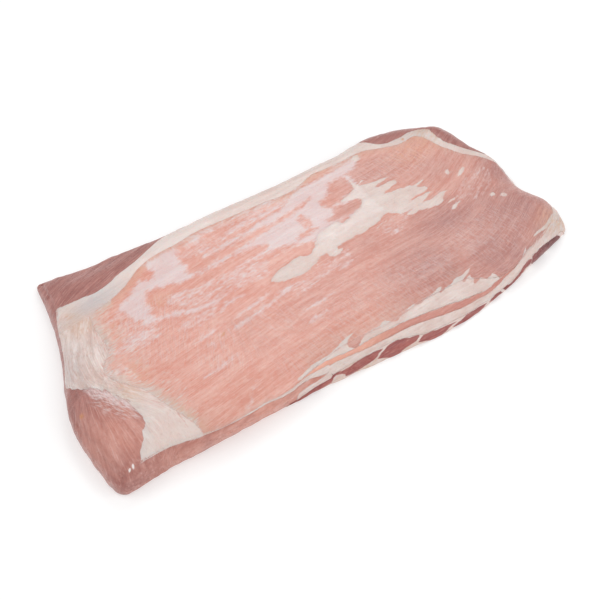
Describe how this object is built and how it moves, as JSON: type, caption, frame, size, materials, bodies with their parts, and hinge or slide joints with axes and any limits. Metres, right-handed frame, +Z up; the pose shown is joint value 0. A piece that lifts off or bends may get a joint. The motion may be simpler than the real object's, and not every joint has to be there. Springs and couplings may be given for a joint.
{
  "type": "pork belly slab",
  "caption": "Raw skinless, boneless slab of pork belly: a long flat piece of lean and fat sheets with uneven cut sides, lying with its rib side down.",
  "frame": {"origin": "middle of the slab's footprint, on the surface that it rests on", "axes": "+X along the length towards the end with the fat tip, +Y across from the layered near side to the far side, +Z up out of the outer side"},
  "size_m": [0.5872, 0.3024, 0.036],
  "materials": {
    "pale_lean": "moist, pale salmon-pink lean under a thin membrane, satin",
    "fat": "moist cream-white fat, satin",
    "cut_lean": "moist cut lean, salmon-brown",
    "brown_lean": "moist brown-pink lean with fine fibres, satin",
    "dark_lean": "moist dark red lean, satin"
  },
  "bodies": {
    "root": {"lean_top": "pale_lean", "fat_upper": "fat", "lean_strip": "cut_lean", "fat_main": "fat", "lean_middle": "brown_lean", "lean_bottom": "dark_lean"}
  },
  "joints": []
}
